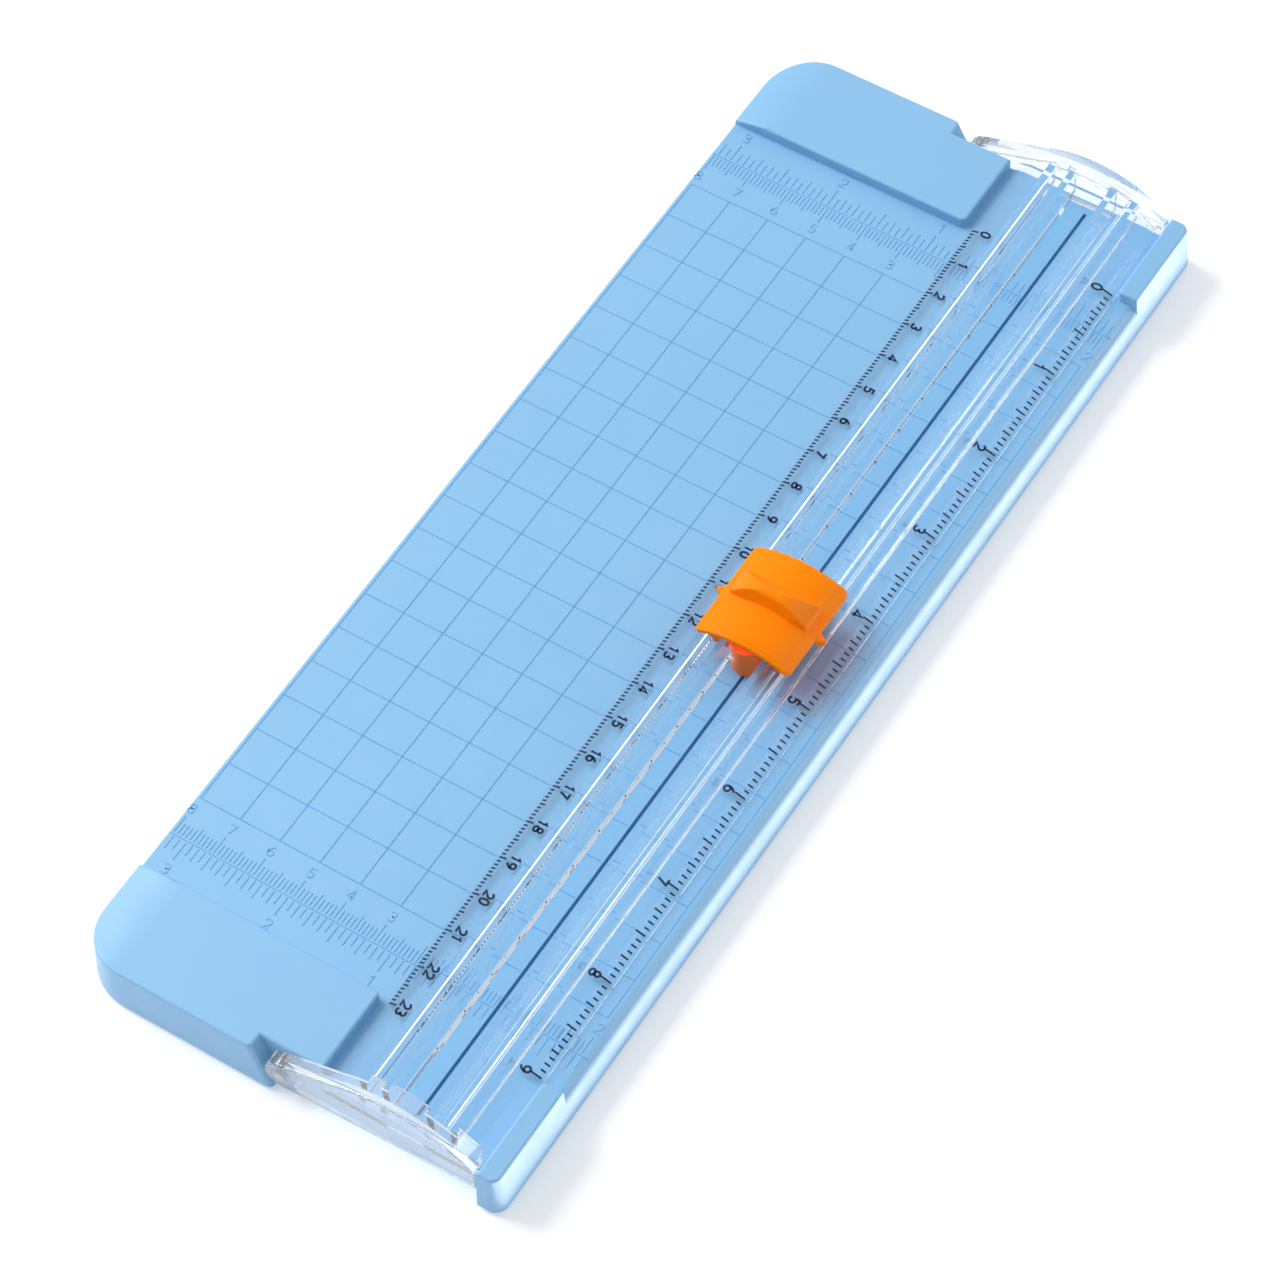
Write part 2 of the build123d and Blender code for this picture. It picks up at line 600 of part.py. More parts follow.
with BuildPart() as holder_screws:
    with BuildSketch(Plane.YZ.offset(CUT_X + HOLDER_OUT)):
        with Locations((SCREW_Y, SCREW_Z), (-SCREW_Y, SCREW_Z)):
            Circle(SCREW_HEAD_RADIUS)
    extrude(amount=-SCREW_HEAD)
    with BuildSketch(Plane.YZ.offset(CUT_X + HOLDER_OUT - SCREW_HEAD)):
        with Locations((SCREW_Y, SCREW_Z), (-SCREW_Y, SCREW_Z)):
            Circle(SCREW_RADIUS)
    extrude(amount=-(HOLDER_OUT - SCREW_HEAD + AXLE_HALF))
    with BuildSketch(Plane.YZ.offset(CUT_X + HOLDER_OUT)):
        with Locations((SCREW_Y, SCREW_Z), (-SCREW_Y, SCREW_Z)):
            Rectangle(1.6 * SCREW_HEAD_RADIUS, 0.3)
            Rectangle(0.3, 1.6 * SCREW_HEAD_RADIUS)
    extrude(amount=-SCREW_HEAD / 2, mode=Mode.SUBTRACT)
finish(holder_screws, "holder_screws")


# ---------------------------------------------------------------- blade, bush, axle, washers
AXLE_AXIS = Axis((CUT_X, 0, AXLE_Z), (1, 0, 0))

with BuildPart() as rotary_blade:
    with BuildSketch(CUT_PLANE):
        with BuildLine():
            Polyline(
                (-BLADE_THICKNESS / 2, AXLE_Z + BUSH_RADIUS),
                (-BLADE_THICKNESS / 2, AXLE_Z + BLADE_RADIUS - BLADE_BEVEL),
                (-BLADE_EDGE / 2, AXLE_Z + BLADE_RADIUS),
                (BLADE_EDGE / 2, AXLE_Z + BLADE_RADIUS),
                (BLADE_THICKNESS / 2, AXLE_Z + BLADE_RADIUS - BLADE_BEVEL),
                (BLADE_THICKNESS / 2, AXLE_Z + BUSH_RADIUS),
                close=True,
            )
        make_face()
    revolve(axis=AXLE_AXIS)
finish(rotary_blade, "rotary_blade")

with BuildPart() as blade_bush:
    with BuildSketch(AXLE_PLANE):
        Circle(BUSH_RADIUS)
        Circle(AXLE_RADIUS + RUNNING_FIT, mode=Mode.SUBTRACT)
    extrude(amount=BUSH_HALF, both=True)
finish(blade_bush, "blade_bush")

with BuildPart() as blade_axle:
    with BuildSketch(AXLE_PLANE):
        Circle(AXLE_RADIUS)
    extrude(amount=AXLE_HALF, both=True)
finish(blade_axle, "blade_axle")

for washer_name, side in (("blade_washer_left", -1), ("blade_washer_right", 1)):
    with BuildPart() as washer:
        with BuildSketch(AXLE_PLANE.offset(side * (BUSH_HALF + RUNNING_FIT))):
            Circle(WASHER_RADIUS)
            Circle(AXLE_RADIUS, mode=Mode.SUBTRACT)
        extrude(amount=side * (HOLDER_IN - BUSH_HALF - RUNNING_FIT))
    finish(washer, washer_name)


# ---------------------------------------------------------------- return springs
# Compression coils in the housing's pockets that lift the cap and the blade.
for spring_name, end in (("near_return_spring", -1), ("far_return_spring", 1)):
    coil_height = CAP_SEAT - SPRING_POCKET_BOTTOM - 4 * WIRE_RADIUS
    with BuildPart() as spring:
        with BuildLine() as coil:
            Helix(
                pitch=coil_height / SPRING_TURNS,
                height=coil_height,
                radius=SPRING_MEAN_RADIUS,
                center=(CUT_X, end * SPRING_Y, SPRING_POCKET_BOTTOM + 2 * WIRE_RADIUS),
            )
        with BuildSketch(Plane(origin=coil.line @ 0, z_dir=coil.line % 0)):
            Circle(WIRE_RADIUS)
        sweep()
    finish(spring, spring_name)
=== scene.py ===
import math

import bmesh
import bpy
from mathutils import Matrix, Quaternion, Vector


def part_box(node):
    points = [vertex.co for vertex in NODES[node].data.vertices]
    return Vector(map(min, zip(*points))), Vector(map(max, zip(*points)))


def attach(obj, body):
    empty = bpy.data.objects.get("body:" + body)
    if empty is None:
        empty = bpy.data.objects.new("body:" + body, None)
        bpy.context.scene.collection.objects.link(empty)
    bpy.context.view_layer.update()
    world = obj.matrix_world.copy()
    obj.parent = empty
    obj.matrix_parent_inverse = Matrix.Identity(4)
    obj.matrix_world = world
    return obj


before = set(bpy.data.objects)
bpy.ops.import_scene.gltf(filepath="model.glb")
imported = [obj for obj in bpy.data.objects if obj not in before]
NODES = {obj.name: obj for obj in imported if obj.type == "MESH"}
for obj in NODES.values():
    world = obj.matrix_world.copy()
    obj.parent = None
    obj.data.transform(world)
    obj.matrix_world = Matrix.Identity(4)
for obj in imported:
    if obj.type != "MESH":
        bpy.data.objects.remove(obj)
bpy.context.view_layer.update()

# Rotary paper trimmer: materials, bed marks, printed scales, light and camera round the packed
# CAD frame. Metres, +Z up; X runs across the base, Y along the cut.
MM = 0.001
CM = 10 * MM
INCH = 25.4 * MM

# ---------------------------------------------------------------- places taken from the frame
# The end blocks stand above the bed by BLOCK_RISE, and the rail's flat plate by PLATE_RISE. Along
# both of its ruler edges the plate's top falls by BEVEL_DROP.
BLOCK_RISE = 3.0 * MM
PLATE_RISE = 2.0 * MM
BEVEL_WIDTH = 2.8 * MM
BEVEL_DROP = 1.0 * MM
base_low, base_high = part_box("base_shell")
rail_low, rail_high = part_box("clear_rail")
blade_low, blade_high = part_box("rotary_blade")
cut_x = (blade_low.x + blade_high.x) / 2
bed_z = base_high.z - BLOCK_RISE
plate_top = bed_z + PLATE_RISE
plate_edge_top = plate_top - BEVEL_DROP
plate_left = rail_low.x
plate_right = rail_high.x

# ---------------------------------------------------------------- bed marks
GRID = 1 * CM
MARK_LEFT = cut_x - 80 * MM
MARK_RIGHT = cut_x + 20 * MM
GRID_END = 95 * MM
GRID_ROWS = 20
LEFT_GRID_COLUMNS = range(8, 2, -1)
RULE_LINE = 105 * MM
RULE_MARGIN = 1.0 * MM
RULE_OVERRUN = 2.0 * MM
MM_TICK_INDICES = range(-80, 21)
INCH_TICK_INDICES = range(-50, 14)
TICK_GAP = 0.4 * MM
MM_TICKS = {10: 4.5 * MM, 5: 3.6 * MM, 1: 2.8 * MM}
INCH_TICKS = {16: 4.8 * MM, 8: 4.4 * MM, 4: 3.9 * MM, 2: 3.4 * MM, 1: 2.7 * MM}
GRID_NUMERAL_Y = 98.0 * MM
GRID_NUMERAL_HEIGHT = 2.7 * MM
RIGHT_GRID_NUMERAL = "2"
BED_INCH_NUMERALS = (3, 2, 1)
BED_INCH_NUMERAL_Y = 112.6 * MM
BED_INCH_NUMERAL_HEIGHT = 2.9 * MM
RIDGE_WIDTH = 0.34 * MM
RIDGE_HEIGHT = 0.13 * MM
RIDGE_SINK = 0.02 * MM
TICK_RIDGE_WIDTH = 0.26 * MM
GROOVE_CLEAR = 0.75 * MM
BED_STROKE = 0.28 * MM

# ---------------------------------------------------------------- printed scales
SCALE_ZERO = 114.6 * MM
SCALE_CM = 23
SCALE_INCHES = 9
INK_THICKNESS = 0.02 * MM
INK_SINK = 0.2 * INK_THICKNESS
INK_TICK_WIDTH = 0.44 * MM
INK_STROKE = 0.52 * MM
CM_TICK_LEFT = cut_x - 18.75 * MM
CM_TICKS = {10: 1.75 * MM, 5: 1.35 * MM, 1: 0.95 * MM}
CM_NUMERAL_X = cut_x - 15.25 * MM
CM_NUMERAL_HEIGHT = 2.5 * MM
INCH_TICK_RIGHT = cut_x + 16.8 * MM
PRINT_INCH_TICKS = {16: 2.45 * MM, 8: 2.2 * MM, 4: 1.75 * MM, 2: 1.3 * MM, 1: 1.15 * MM}
INCH_NUMERAL_X = cut_x + 13.0 * MM
INCH_NUMERAL_HEIGHT = 2.8 * MM


# ---------------------------------------------------------------- colours
WHITE = (1.0, 1.0, 1.0, 1.0)
BLUE = (0.238, 0.490, 0.760, 1.0)
BLUE_SHADE = (0.226, 0.472, 0.745, 1.0)
# Painted shade: the bed marks are moulded in the bed's own blue, but drawn darker to stand in for
# the shade along the sides of the thin ridges.
MARK_PAINTED_SHADE_BLUE = (0.180, 0.435, 0.745, 1.0)
MARK_PAINTED_SHADE_BLUE_TONE = (0.165, 0.415, 0.730, 1.0)
ORANGE = (1.0, 0.250, 0.001, 1.0)
ORANGE_SHADE = (0.97, 0.228, 0.001, 1.0)
FRAME_ORANGE = (1.0, 0.20, 0.040, 1.0)
FRAME_ORANGE_SHADE = (0.98, 0.18, 0.034, 1.0)
ORANGE_GLOW = (0.96, 0.52, 0.50, 1.0)
ACETAL = (0.78, 0.79, 0.80, 1.0)
ACETAL_SHADE = (0.74, 0.75, 0.77, 1.0)
RAIL_TINT = (0.965, 0.98, 1.0, 1.0)
HOOD_TINT = (0.86, 0.895, 0.95, 1.0)
LIT_THROUGH = (0.91, 0.96, 0.985, 1.0)
GROUND_STEEL = (0.60, 0.61, 0.63, 1.0)
GROUND_STEEL_DARK = (0.50, 0.51, 0.53, 1.0)
PLATED_STEEL = (0.52, 0.52, 0.53, 1.0)
PLATED_STEEL_DARK = (0.40, 0.40, 0.42, 1.0)
BRASS = (0.78, 0.57, 0.24, 1.0)
BRASS_DARK = (0.68, 0.47, 0.17, 1.0)
RUBBER_GREY = (0.030, 0.031, 0.033, 1.0)
RUBBER_DUST = (0.060, 0.061, 0.064, 1.0)
INK = (0.004, 0.008, 0.030, 1.0)
INK_THIN = (0.010, 0.020, 0.060, 1.0)
FLOOR_COOL = (0.93, 0.93, 0.935, 1.0)
FLOOR_NEUTRAL = (0.94, 0.94, 0.94, 1.0)


# ---------------------------------------------------------------- materials
class Shader:
    """A node material with one Principled BSDF and short calls for the nodes round it."""

    def __init__(self, name):
        self.material = bpy.data.materials.new(name)
        self.material.use_nodes = True
        self.nodes = self.material.node_tree.nodes
        self.links = self.material.node_tree.links
        self.surface = self.nodes["Principled BSDF"]
        self.coordinates = self.nodes.new("ShaderNodeTexCoord").outputs["Object"]

    def set(self, **values):
        """Constant values straight on the Principled sockets; _ in a name stands for a space."""
        for name, value in values.items():
            self.surface.inputs[name.replace("_", " ")].default_value = value

    def stretched(self, factors):
        mapping = self.nodes.new("ShaderNodeMapping")
        mapping.inputs["Scale"].default_value = factors
        self.links.new(self.coordinates, mapping.inputs["Vector"])
        return mapping.outputs["Vector"]

    def noise(self, scale, detail=3.0, roughness=0.5, vector=None):
        node = self.nodes.new("ShaderNodeTexNoise")
        node.inputs["Scale"].default_value = scale
        node.inputs["Detail"].default_value = detail
        node.inputs["Roughness"].default_value = roughness
        self.links.new(vector or self.coordinates, node.inputs["Vector"])
        return node.outputs["Fac"]

    def remap(self, value, low, high, from_low=0.35, from_high=0.65):
        node = self.nodes.new("ShaderNodeMapRange")
        node.inputs["From Min"].default_value = from_low
        node.inputs["From Max"].default_value = from_high
        node.inputs["To Min"].default_value = low
        node.inputs["To Max"].default_value = high
        self.links.new(value, node.inputs["Value"])
        return node.outputs["Result"]

    def mix(self, factor, first, second):
        node = self.nodes.new("ShaderNodeMix")
        node.data_type = "RGBA"
        self.links.new(factor, node.inputs["Factor"])
        for socket, colour in ((node.inputs["A"], first), (node.inputs["B"], second)):
            if isinstance(colour, tuple):
                socket.default_value = colour
            else:
                self.links.new(colour, socket)
        return node.outputs["Result"]

    def bump(self, height, strength, distance):
        node = self.nodes.new("ShaderNodeBump")
        node.inputs["Strength"].default_value = strength
        node.inputs["Distance"].default_value = distance
        self.links.new(height, node.inputs["Height"])
        return node.outputs["Normal"]

    def shade_through(self, ray_kind, colour):
        """Rays of this kind pass through the surface, tinted, instead of being stopped."""
        output = self.nodes["Material Output"].inputs["Surface"]
        solid = output.links[0].from_socket
        open_shader = self.nodes.new("ShaderNodeBsdfTransparent")
        open_shader.inputs["Color"].default_value = colour
        path = self.nodes.new("ShaderNodeLightPath")
        blend = self.nodes.new("ShaderNodeMixShader")
        self.links.new(path.outputs[ray_kind], blend.inputs["Fac"])
        self.links.new(solid, blend.inputs[1])
        self.links.new(open_shader.outputs["BSDF"], blend.inputs[2])
        self.links.new(blend.outputs["Shader"], output)

    def feed(self, **sockets):
        """Links node outputs to the Principled sockets."""
        for name, output in sockets.items():
            self.links.new(output, self.surface.inputs[name.replace("_", " ")])


def moulded(name, colour, shade, roughness, specular=0.5, glow=None):
    """Injection-moulded plastic: fine spark-eroded grain, faint flow variation, soft gloss.

    glow is the tint of the light that gets through thin walls, for plastic that isn't dense.
    """
    shader = Shader(name)
    flow = shader.noise(22.0, detail=4.0)
    fine = shader.noise(1800.0, detail=2.0)
    handling = shader.noise(140.0, detail=6.0, roughness=0.65)
    shader.feed(
        Base_Color=shader.mix(
            shader.remap(flow, 0.0, 1.0, from_low=0.3, from_high=0.7), colour, shade
        ),
        Roughness=shader.remap(handling, roughness - 0.05, roughness + 0.07),
        Normal=shader.bump(fine, strength=0.25, distance=0.02 * MM),
    )
    shader.set(IOR=1.5, Specular_IOR_Level=specular)
    if glow is not None:
        shader.shade_through("Is Shadow Ray", glow)
    return shader.material


def clear_plastic(name, tint, roughness, clarity=1.0):
    """Clear styrene: light passes as through glass, with hairline scratches along the rail.

    clarity is the share of light that isn't caught by the faint haze of a thick moulding.
    """
    shader = Shader(name)
    hairlines = shader.noise(900.0, detail=2.0, vector=shader.stretched((1.0, 0.02, 1.0)))
    haze = shader.noise(90.0, detail=5.0)
    shader.feed(
        Base_Color=shader.mix(shader.remap(haze, 0.0, 1.0), tint, WHITE),
        Roughness=shader.remap(
            hairlines, roughness, roughness + 0.02, from_low=0.45, from_high=0.75
        ),
        Normal=shader.bump(hairlines, strength=0.01, distance=0.002 * MM),
    )
    shader.set(IOR=1.52, Transmission_Weight=clarity, Specular_IOR_Level=0.5)
    # Light for the base under the rail passes straight through.
    shader.shade_through("Is Diffuse Ray", LIT_THROUGH)
    shader.shade_through("Is Shadow Ray", LIT_THROUGH)
    return shader.material


def metal(name, colour, dark, roughness, stretch, scale):
    """Ground or drawn metal: fine lines one way, with a slightly uneven tone."""
    shader = Shader(name)
    lines = shader.noise(scale, detail=3.0, vector=shader.stretched(stretch))
    tone = shader.noise(350.0, detail=4.0)
    shader.feed(
        Base_Color=shader.mix(shader.remap(tone, 0.0, 1.0), colour, dark),
        Roughness=shader.remap(lines, roughness - 0.06, roughness + 0.10),
        Normal=shader.bump(lines, strength=0.2, distance=0.01 * MM),
    )
    shader.set(Metallic=1.0)
    return shader.material


def rubber(name):
    """Dark grey rubber with a pebbled skin."""
    shader = Shader(name)
    pebbles = shader.noise(1500.0, detail=4.0, roughness=0.6)
    dust = shader.noise(60.0, detail=5.0)
    shader.feed(
        Base_Color=shader.mix(shader.remap(dust, 0.0, 1.0), RUBBER_GREY, RUBBER_DUST),
        Roughness=shader.remap(pebbles, 0.68, 0.88),
        Normal=shader.bump(pebbles, strength=0.5, distance=0.06 * MM),
    )
    return shader.material


def ink(name):
    """Screen-printed ink with slightly uneven cover."""
    shader = Shader(name)
    cover = shader.noise(2600.0, detail=3.0)
    shader.feed(
        Base_Color=shader.mix(shader.remap(cover, 0.0, 1.0), INK, INK_THIN),
        Roughness=shader.remap(cover, 0.38, 0.60),
        Normal=shader.bump(cover, strength=0.2, distance=0.01 * MM),
    )
    shader.set(Specular_IOR_Level=0.25)
    return shader.material


blue_abs = moulded("blue_abs", BLUE, BLUE_SHADE, roughness=0.40, specular=0.45)
# Painted shade: the marks' material is darker than the bed's, standing in for the shade on the
# ridges' sides.
mark_painted_shade_blue = moulded("blue_abs_marks_painted_shade", MARK_PAINTED_SHADE_BLUE, MARK_PAINTED_SHADE_BLUE_TONE, roughness=0.42)
orange_abs = moulded(
    "orange_abs", ORANGE, ORANGE_SHADE, roughness=0.36, specular=0.06, glow=ORANGE_GLOW
)
orange_frame = moulded(
    "orange_abs_frame",
    FRAME_ORANGE,
    FRAME_ORANGE_SHADE,
    roughness=0.36,
    specular=0.10,
    glow=ORANGE_GLOW,
)
white_acetal = moulded("white_acetal", ACETAL, ACETAL_SHADE, roughness=0.36)
clear_styrene = clear_plastic("clear_styrene", RAIL_TINT, roughness=0.01)
hood_styrene = clear_plastic("hood_styrene", HOOD_TINT, roughness=0.03, clarity=0.90)
blade_steel = metal(
    "blade_steel", GROUND_STEEL, GROUND_STEEL_DARK, roughness=0.24, stretch=(1, 8, 8), scale=400.0
)
spring_steel = metal(
    "spring_steel", PLATED_STEEL, PLATED_STEEL_DARK, roughness=0.30, stretch=(1, 1, 6), scale=900.0
)
brass = metal("brass", BRASS, BRASS_DARK, roughness=0.28, stretch=(8, 1, 1), scale=500.0)
foot_rubber = rubber("foot_rubber")
scale_ink = ink("scale_ink")

NODE_MATERIALS = {
    "base_shell": blue_abs,
    "foot_near_left": foot_rubber,
    "foot_near_right": foot_rubber,
    "foot_far_left": foot_rubber,
    "foot_far_right": foot_rubber,
    "clear_rail": clear_styrene,
    "near_hood": hood_styrene,
    "far_hood": hood_styrene,
    "near_hinge_pin": spring_steel,
    "far_hinge_pin": spring_steel,
    "carriage_frame": orange_frame,
    "thumb_cap": orange_abs,
    "holder_left": white_acetal,
    "holder_right": white_acetal,
    "holder_screws": spring_steel,
    "blade_axle": spring_steel,
    "blade_bush": brass,
    "blade_washer_left": spring_steel,
    "blade_washer_right": spring_steel,
    "rotary_blade": blade_steel,
    "near_return_spring": spring_steel,
    "far_return_spring": spring_steel,
}
for node_name, material in NODE_MATERIALS.items():
    slots = NODES[node_name].material_slots
    if not slots:
        NODES[node_name].data.materials.append(material)
    for slot in slots:
        slot.material = material


# Every edge of the cap is softly rounded, and the fin's far side runs into the arch.
soft_skin = NODES["thumb_cap"].modifiers.new("soft_skin", "REMESH")
soft_skin.mode = "VOXEL"
soft_skin.voxel_size = 0.16 * MM
soft_skin.use_smooth_shade = True
soft_edges = NODES["thumb_cap"].modifiers.new("soft_edges", "SMOOTH")
soft_edges.factor = 0.5
soft_edges.iterations = 10


# ---------------------------------------------------------------- mesh helpers
def new_piece(name, mesh_builder, material, body):
    """Makes an object from a filled bmesh, gives it its material and lets it ride on a body."""
    bmesh.ops.recalc_face_normals(mesh_builder, faces=mesh_builder.faces)
    mesh = bpy.data.meshes.new(name)
    mesh_builder.to_mesh(mesh)
    mesh_builder.free()
    mesh.materials.append(material)
    piece = bpy.data.objects.new(name, mesh)
    bpy.context.scene.collection.objects.link(piece)
    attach(piece, body)
    return piece


def add_prism(mesh_builder, bottom, top):
    """Closed solid between two loops with the same number of corners."""
    lower = [mesh_builder.verts.new(point) for point in bottom]
    upper = [mesh_builder.verts.new(point) for point in top]
    count = len(lower)
    mesh_builder.faces.new(lower)
    mesh_builder.faces.new(upper)
    for i in range(count):
        j = (i + 1) % count
        mesh_builder.faces.new((lower[i], lower[j], upper[j], upper[i]))


def add_ridge(mesh_builder, start, end, width):
    """A low moulded ridge on the bed between two plan points, narrower at its top."""
    start, end = Vector(start), Vector(end)
    along = (end - start).normalized()
    across = Vector((-along.y, along.x))
    loops = []
    for height, half, inset in (
        (bed_z - RIDGE_SINK, width / 2, 0.0),
        (bed_z + RIDGE_HEIGHT, width / 5, width / 3),
    ):
        first, last = start + along * inset, end - along * inset
        side = across * half
        corners = (first - side, last - side, last + side, first + side)
        loops.append([(corner.x, corner.y, height) for corner in corners])
    add_prism(mesh_builder, *loops)


def ellipse_arc(x, y, radius_x, radius_y, start, end, steps=18):
    """Points along part of an ellipse, from one angle to another in degrees."""
    angles = [math.radians(start + (end - start) * step / steps) for step in range(steps + 1)]
    return [(x + radius_x * math.cos(angle), y + radius_y * math.sin(angle)) for angle in angles]


SIX = [
    ellipse_arc(0.0, 0.32, 0.25, 0.24, 0, 360),
    ellipse_arc(0.24, 0.34, 0.49, 0.58, 176, 105),
]
# Centre lines of the numerals' strokes, in a cell one unit high that is centred on x = 0
DIGIT_STROKES = {
    "0": [ellipse_arc(0.0, 0.5, 0.26, 0.42, 0, 360)],
    "1": [[(-0.17, 0.72), (0.05, 0.92), (0.05, 0.08)]],
    "2": [ellipse_arc(0.0, 0.67, 0.25, 0.25, 165, -40) + [(-0.26, 0.08), (0.27, 0.08)]],
    "3": [
        ellipse_arc(-0.02, 0.70, 0.24, 0.22, 150, -90),
        ellipse_arc(-0.02, 0.29, 0.27, 0.21, 90, -150),
    ],
    "4": [[(0.12, 0.08), (0.12, 0.92), (-0.28, 0.32), (0.30, 0.32)]],
    "5": [[(0.24, 0.92), (-0.18, 0.92)] + ellipse_arc(-0.02, 0.34, 0.27, 0.26, 128, -145)],
    "6": SIX,
    "7": [[(-0.25, 0.92), (0.27, 0.92), (-0.06, 0.08)]],
    "8": [
        ellipse_arc(0.0, 0.70, 0.21, 0.22, 0, 360),
        ellipse_arc(0.0, 0.28, 0.26, 0.20, 0, 360),
    ],
    "9": [[(-x, 1.0 - y) for x, y in stroke] for stroke in SIX],
}
DIGIT_STEP = 0.74
# A stroke's corner is never mitred further than this cosine allows, so that none grows a spike.
MITRE_COSINE = 0.55


def add_stroke(mesh_builder, points, width, low, high):
    """Raised band along a centre line in plan; a line that ends where it starts makes a ring."""
    ring = (Vector(points[0]) - Vector(points[-1])).length < 1e-9
    centres = [Vector(point) for point in (points[:-1] if ring else points)]
    count = len(centres)
    rows = []
    for i, centre in enumerate(centres):
        before = centre - centres[i - 1] if ring or i > 0 else None
        after = centres[(i + 1) % count] - centre if ring or i < count - 1 else None
        before, after = (before or after).normalized(), (after or before).normalized()
        along = (before + after).normalized()
        reach = width / 2 / max(along.dot(before), MITRE_COSINE)
        across = Vector((-along.y, along.x)) * reach
        left, right = centre + across, centre - across
        corners = ((left, low), (right, low), (right, high), (left, high))
        rows.append([mesh_builder.verts.new((place.x, place.y, z)) for place, z in corners])
    for i in range(count if ring else count - 1):
        row, following = rows[i], rows[(i + 1) % count]
        for k in range(4):
            n = (k + 1) % 4
            mesh_builder.faces.new((row[k], row[n], following[n], following[k]))
    if not ring:
        mesh_builder.faces.new(rows[0])
        mesh_builder.faces.new(rows[-1])


def add_number(mesh_builder, text, place, height, stroke, thickness, turn=0):
    """Adds a number centred on a place in plan, turned about Z by an angle in degrees."""
    turned = Matrix.Rotation(math.radians(turn), 2)
    for index, digit in enumerate(text):
        shift = (index - (len(text) - 1) / 2) * DIGIT_STEP
        for line in DIGIT_STROKES[digit]:
            points = []
            for x, y in line:
                offset = turned @ Vector(((x + shift) * height, (y - 0.5) * height))
                points.append((place[0] + offset.x, place[1] + offset.y))
            add_stroke(mesh_builder, points, stroke, place[2], place[2] + thickness)


# ---------------------------------------------------------------- marks moulded on the bed
def spans_beside_groove(left, right):
    """The stretches of a cross line either side of the blade groove."""
    return ((left, cut_x - GROOVE_CLEAR), (cut_x + GROOVE_CLEAR, right))


marks = bmesh.new()
for column in LEFT_GRID_COLUMNS:
    line_x = cut_x - column * GRID
    add_ridge(marks, (line_x, -GRID_END), (line_x, GRID_END), RIDGE_WIDTH)
add_ridge(marks, (MARK_RIGHT, -GRID_END), (MARK_RIGHT, GRID_END), RIDGE_WIDTH)
for row in range(GRID_ROWS):
    line_y = GRID_END - row * GRID
    for left, right in spans_beside_groove(MARK_LEFT, MARK_RIGHT):
        add_ridge(marks, (left, line_y), (right, line_y), RIDGE_WIDTH)


def tick_length(index, lengths):
    """Length of the tick with this index: the longest whose step divides it."""
    return next(length for step, length in lengths.items() if index % step == 0)


for end in (1, -1):
    rule_y = end * RULE_LINE
    for left, right in spans_beside_groove(base_low.x + RULE_MARGIN, MARK_RIGHT + RULE_OVERRUN):
        add_ridge(marks, (left, rule_y), (right, rule_y), TICK_RIDGE_WIDTH)
    for index in MM_TICK_INDICES:
        tick_x = cut_x + index * MM
        if abs(tick_x - cut_x) < GROOVE_CLEAR:
            continue
        foot_y = rule_y - end * TICK_GAP
        tip_y = foot_y - end * tick_length(index, MM_TICKS)
        add_ridge(marks, (tick_x, foot_y), (tick_x, tip_y), TICK_RIDGE_WIDTH)
    for index in INCH_TICK_INDICES:
        tick_x = cut_x + index * INCH / 16
        if abs(tick_x - cut_x) < GROOVE_CLEAR:
            continue
        foot_y = rule_y + end * TICK_GAP
        tip_y = foot_y + end * tick_length(index, INCH_TICKS)
        add_ridge(marks, (tick_x, foot_y), (tick_x, tip_y), TICK_RIDGE_WIDTH)
    for column in LEFT_GRID_COLUMNS:
        place = (cut_x - column * GRID, end * GRID_NUMERAL_Y, bed_z - RIDGE_SINK)
        add_number(marks, str(column), place, GRID_NUMERAL_HEIGHT, BED_STROKE, RIDGE_HEIGHT)
    for inches in BED_INCH_NUMERALS:
        place = (cut_x - inches * INCH, end * BED_INCH_NUMERAL_Y, bed_z - RIDGE_SINK)
        add_number(marks, str(inches), place, BED_INCH_NUMERAL_HEIGHT, BED_STROKE, RIDGE_HEIGHT)
    place = (MARK_RIGHT, end * GRID_NUMERAL_Y, bed_z - RIDGE_SINK)
    add_number(marks, RIGHT_GRID_NUMERAL, place, GRID_NUMERAL_HEIGHT, BED_STROKE, RIDGE_HEIGHT)
bed_marks = new_piece("bed_marks", marks, mark_painted_shade_blue, "base")


# ---------------------------------------------------------------- scales printed on the rail
def plate_height(x):
    """Height of the plate's top surface, which slopes down along both ruler edges."""
    inset = min(x - plate_left, plate_right - x, BEVEL_WIDTH)
    return plate_edge_top + (plate_top - plate_edge_top) * max(inset, 0.0) / BEVEL_WIDTH


def add_ink_bar(mesh_builder, left, right, y):
    """A printed tick across the plate, following its slope."""
    bends = [plate_left + BEVEL_WIDTH, plate_right - BEVEL_WIDTH]
    stops = [left] + [bend for bend in bends if left < bend < right] + [right]
    half = INK_TICK_WIDTH / 2
    for start, stop in zip(stops, stops[1:]):
        loops = []
        for lift in (-INK_SINK, INK_THICKNESS):
            low, high = plate_height(start) + lift, plate_height(stop) + lift
            loops.append(
                [
                    (start, y - half, low),
                    (stop, y - half, high),
                    (stop, y + half, high),
                    (start, y + half, low),
                ]
            )
        add_prism(mesh_builder, *loops)


cm_print = bmesh.new()
for index in range(SCALE_CM * 10 + 1):
    length = tick_length(index, CM_TICKS)
    tick_y = SCALE_ZERO - index * MM
    add_ink_bar(cm_print, CM_TICK_LEFT, CM_TICK_LEFT + length, tick_y)
for number in range(SCALE_CM + 1):
    place = (CM_NUMERAL_X, SCALE_ZERO - number * CM, plate_top)
    add_number(cm_print, str(number), place, CM_NUMERAL_HEIGHT, INK_STROKE, INK_THICKNESS, -90)
new_piece("cm_scale_print", cm_print, scale_ink, "rail")

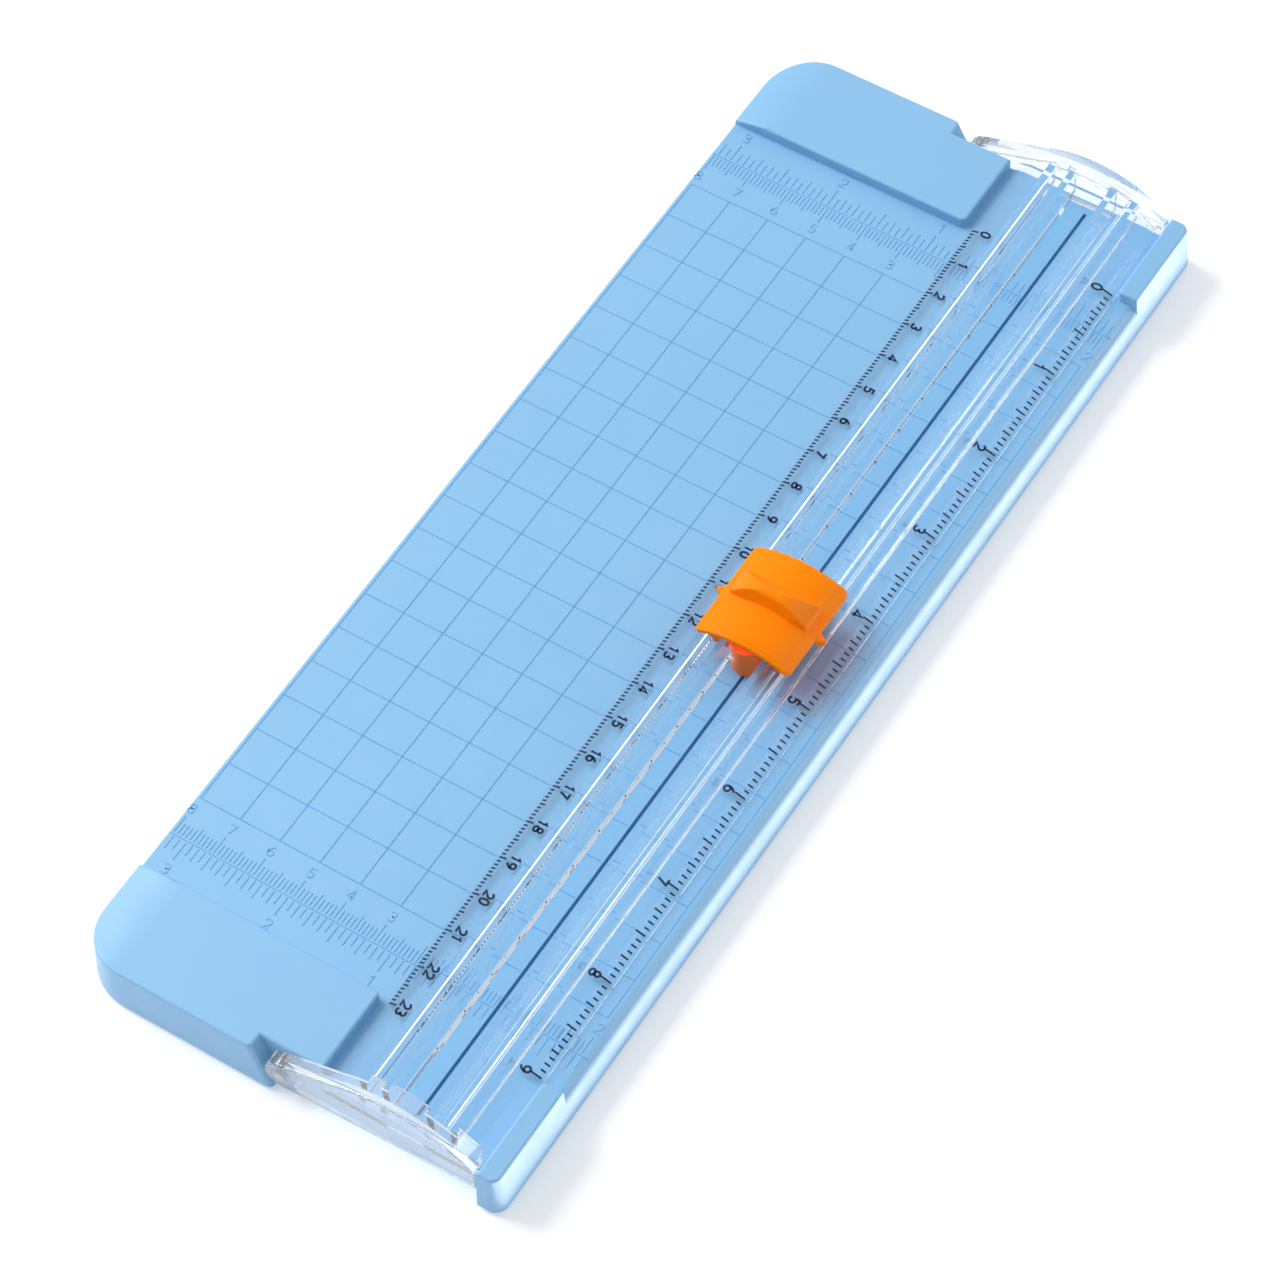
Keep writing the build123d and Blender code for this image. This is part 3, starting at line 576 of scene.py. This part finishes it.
inch_print = bmesh.new()
for index in range(SCALE_INCHES * 16 + 1):
    length = tick_length(index, PRINT_INCH_TICKS)
    tick_y = SCALE_ZERO - index * INCH / 16
    add_ink_bar(inch_print, INCH_TICK_RIGHT - length, INCH_TICK_RIGHT, tick_y)
for number in range(SCALE_INCHES + 1):
    place = (INCH_NUMERAL_X, SCALE_ZERO - number * INCH, plate_top)
    add_number(inch_print, str(number), place, INCH_NUMERAL_HEIGHT, INK_STROKE, INK_THICKNESS, -90)
new_piece("inch_scale_print", inch_print, scale_ink, "rail")

# ---------------------------------------------------------------- floor, light and camera
FLOOR_HALF = 6.0
floor_builder = bmesh.new()
bmesh.ops.create_grid(floor_builder, x_segments=2, y_segments=2, size=FLOOR_HALF)
floor_mesh = bpy.data.meshes.new("floor")
floor_builder.to_mesh(floor_mesh)
floor_builder.free()
floor = bpy.data.objects.new("floor", floor_mesh)
bpy.context.scene.collection.objects.link(floor)
floor_shader = Shader("floor_white")
floor_tone = floor_shader.noise(3.0)
floor_shader.feed(Base_Color=floor_shader.mix(floor_tone, FLOOR_COOL, FLOOR_NEUTRAL))
floor_shader.set(
    Roughness=0.9, Specular_IOR_Level=0.1, Emission_Color=WHITE, Emission_Strength=0.26
)
floor_mesh.materials.append(floor_shader.material)

world = bpy.data.worlds.new("studio")
bpy.context.scene.world = world
world.use_nodes = True
world_nodes, world_links = world.node_tree.nodes, world.node_tree.links
world_nodes["Background"].inputs["Color"].default_value = WHITE
# The room is darker on the viewer's side, so the end faces and clear parts are less washed out.
direction = world_nodes.new("ShaderNodeSeparateXYZ")
outward = world_nodes.new("ShaderNodeTexCoord").outputs["Generated"]
world_links.new(outward, direction.inputs["Vector"])
room = world_nodes.new("ShaderNodeMapRange")
ROOM_RAMP = {"From Min": -0.75, "From Max": 0.0, "To Min": 0.36, "To Max": 0.70}
for socket, value in ROOM_RAMP.items():
    room.inputs[socket].default_value = value
world_links.new(direction.outputs["Y"], room.inputs["Value"])
world_links.new(room.outputs["Result"], world_nodes["Background"].inputs["Strength"])


def softbox(name, place, aim, size, power, gloss_only=False):
    """Square area light turned to an aim point; a gloss_only one shows only in reflections."""
    light = bpy.data.lights.new(name, "AREA")
    light.shape = "SQUARE"
    light.size = size
    light.energy = power
    lamp = bpy.data.objects.new(name, light)
    lamp.location = place
    lamp.rotation_euler = (Vector(aim) - Vector(place)).to_track_quat("-Z", "Y").to_euler()
    lamp.visible_camera = False
    lamp.visible_diffuse = not gloss_only
    bpy.context.scene.collection.objects.link(lamp)


softbox("key_softbox", (-1.08, -0.02, 1.0), (0.0, 0.0, 0.0), 0.85, 18.8)
softbox("right_softbox", (0.78, 0.60, 0.62), (0.03, 0.0, 0.01), 0.7, 7.0, gloss_only=True)
softbox("low_softbox", (0.204, 0.0, 0.0004), (0.204, 0.0, 1.0), 0.30, 1.35, gloss_only=True)

CAMERA_TARGET = Vector((0.0056, -0.01503, bed_z))
CAMERA_AZIMUTH = math.radians(35.89)
CAMERA_ELEVATION = math.radians(55.90)
CAMERA_ROLL = math.radians(-3.99)
CAMERA_DISTANCE = 1.0052
CAMERA_LENS = 134.56
SENSOR_WIDTH = 36.0
camera_data = bpy.data.cameras.new("camera")
camera_data.lens = CAMERA_LENS
camera_data.sensor_width = SENSOR_WIDTH
camera = bpy.data.objects.new("camera", camera_data)
bpy.context.scene.collection.objects.link(camera)
backward = Vector(
    (
        math.sin(CAMERA_AZIMUTH) * math.cos(CAMERA_ELEVATION),
        -math.cos(CAMERA_AZIMUTH) * math.cos(CAMERA_ELEVATION),
        math.sin(CAMERA_ELEVATION),
    )
)
camera.rotation_mode = "QUATERNION"
camera.location = CAMERA_TARGET + backward * CAMERA_DISTANCE
roll = Quaternion((0, 0, 1), CAMERA_ROLL)
camera.rotation_quaternion = (-backward).to_track_quat("-Z", "Y") @ roll
bpy.context.scene.camera = camera
bpy.context.scene.view_settings.view_transform = "Standard"

# Light that is caught in the clear rail bounces many times before it leaves.
cycles = bpy.context.scene.cycles
cycles.max_bounces = 24
cycles.glossy_bounces = 20
cycles.transmission_bounces = 20
cycles.transparent_max_bounces = 24
